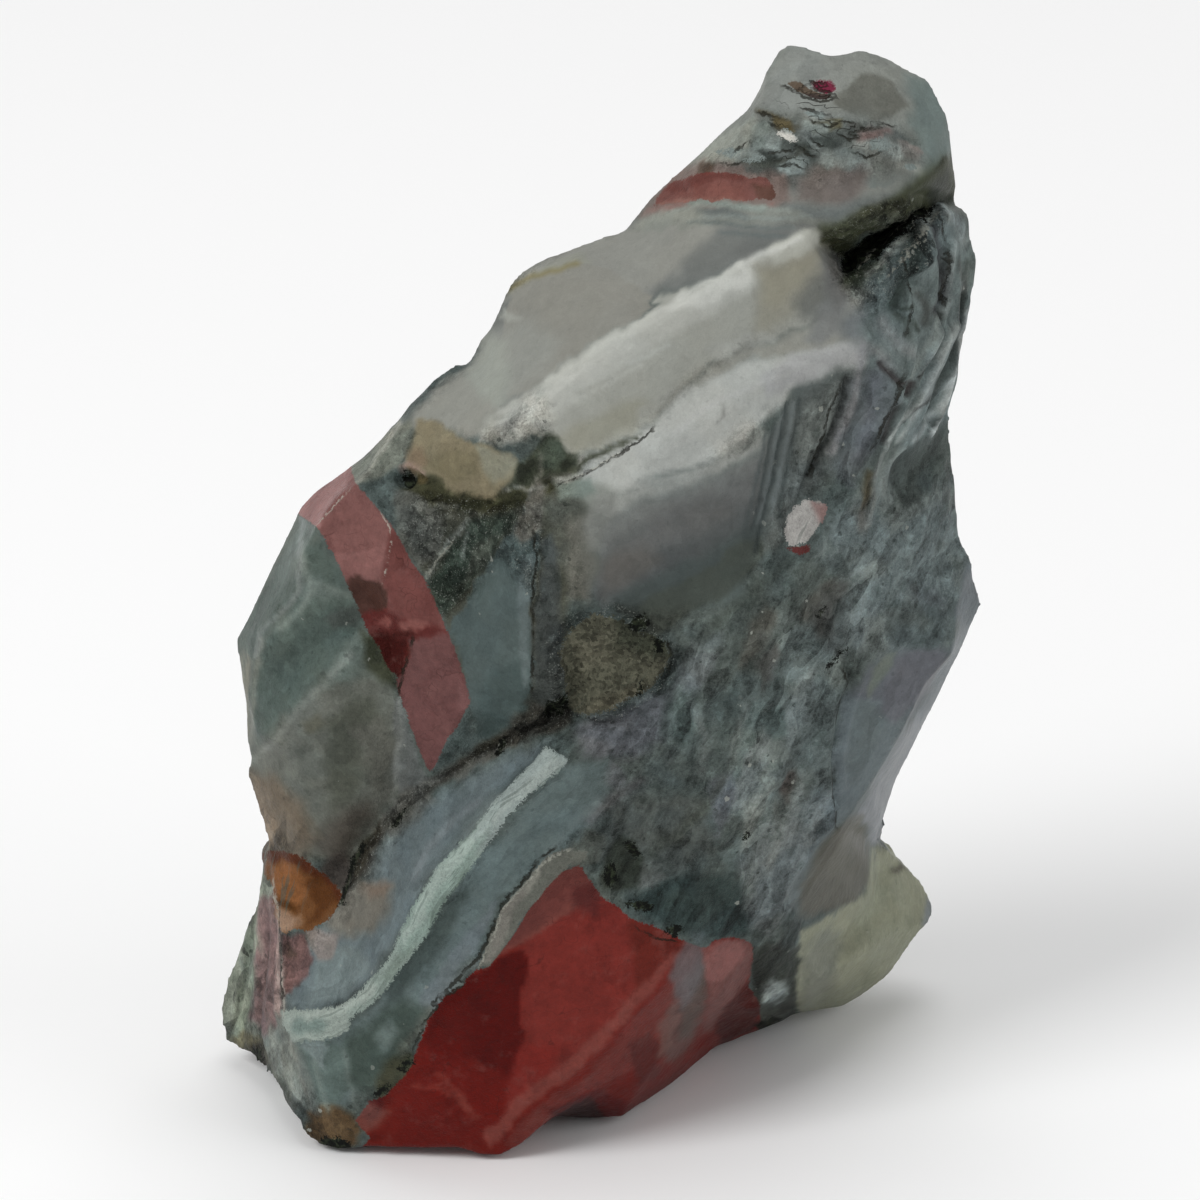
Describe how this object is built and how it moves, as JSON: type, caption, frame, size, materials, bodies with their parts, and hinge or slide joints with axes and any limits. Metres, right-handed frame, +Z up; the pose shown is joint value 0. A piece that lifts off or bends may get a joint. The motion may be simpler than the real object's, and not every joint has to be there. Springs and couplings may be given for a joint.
{
  "type": "rough bloodstone specimen",
  "caption": "Rough broken chunk of green-grey bloodstone with red jasper patches and pale bands, standing on a small flat foot.",
  "frame": {"origin": "middle of the flat foot that the stone stands on, at ground level", "axes": "+Z up, the stone's longest way; +X to the right and +Y to the back, seen from the broad face with the red patch"},
  "size_m": [0.0778, 0.0471, 0.1111],
  "materials": {
    "bloodstone": "waxy broken surface, mottled grey-green with red patches and white bands"
  },
  "bodies": {
    "root": {"bloodstone": "bloodstone"}
  },
  "joints": []
}
